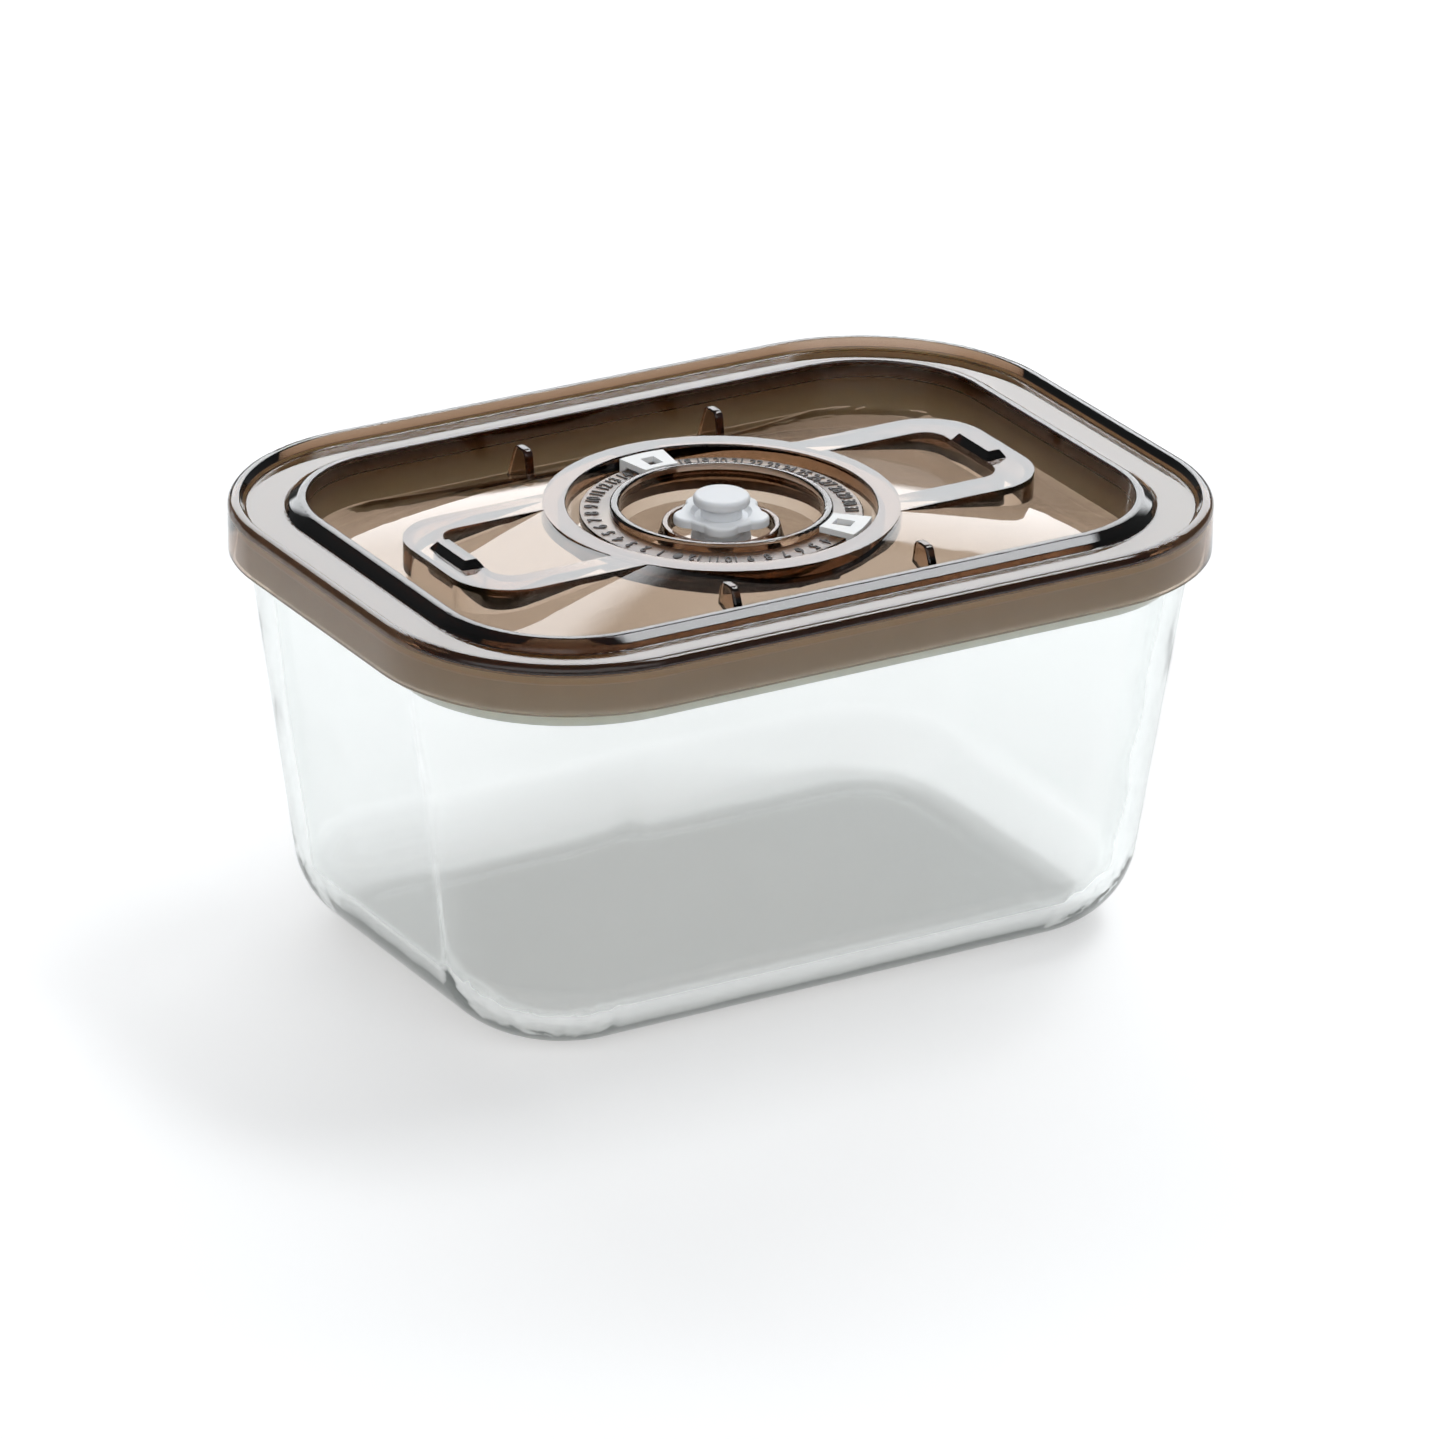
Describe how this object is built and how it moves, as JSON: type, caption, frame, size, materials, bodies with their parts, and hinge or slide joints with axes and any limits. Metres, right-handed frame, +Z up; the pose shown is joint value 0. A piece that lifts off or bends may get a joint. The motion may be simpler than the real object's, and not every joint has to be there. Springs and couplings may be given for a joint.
{
  "type": "vacuum canister",
  "caption": "Rectangular glass food canister with rounded corners under a smoke-brown transparent lid with a vent valve, a pump collar, a date dial and lifting bars.",
  "frame": {"origin": "middle of the underside, on the table", "axes": "+X along the long side, +Y across it, +Z up through the valve"},
  "size_m": [0.19, 0.139, 0.095],
  "materials": {
    "clear_glass": "clear pressed glass, polished",
    "smoke_plastic": "transparent smoke-brown plastic, polished",
    "seal_silicone": "whitish translucent silicone",
    "white_silicone": "white silicone, satin",
    "white_plastic": "white plastic, satin"
  },
  "bodies": {
    "bowl": {"glass_bowl": "clear_glass"},
    "lid": {"lid_shell": "smoke_plastic", "rim_gasket": "seal_silicone"},
    "valve": {"vent_valve": "white_silicone"},
    "day": {"day_slider": "white_plastic"},
    "month": {"month_slider": "white_plastic"}
  },
  "joints": [
    {"name": "lid_lift", "type": "slide", "parent": "bowl", "child": "lid", "axis": [0, 0, 1], "range_m": [0, 0.06]},
    {"name": "valve_pull", "type": "slide", "parent": "lid", "child": "valve", "axis": [0, 0, 1], "range_m": [0, 0.002], "stiffness_N_per_m": 400},
    {"name": "day_turn", "type": "hinge", "parent": "lid", "child": "day", "pos_m": [0, 0, 0.0913], "axis": [0, 0, 1], "range_deg": [-118, 118]},
    {"name": "month_turn", "type": "hinge", "parent": "lid", "child": "month", "pos_m": [0, 0, 0.0913], "axis": [0, 0, 1], "range_deg": [-78, 6]}
  ]
}
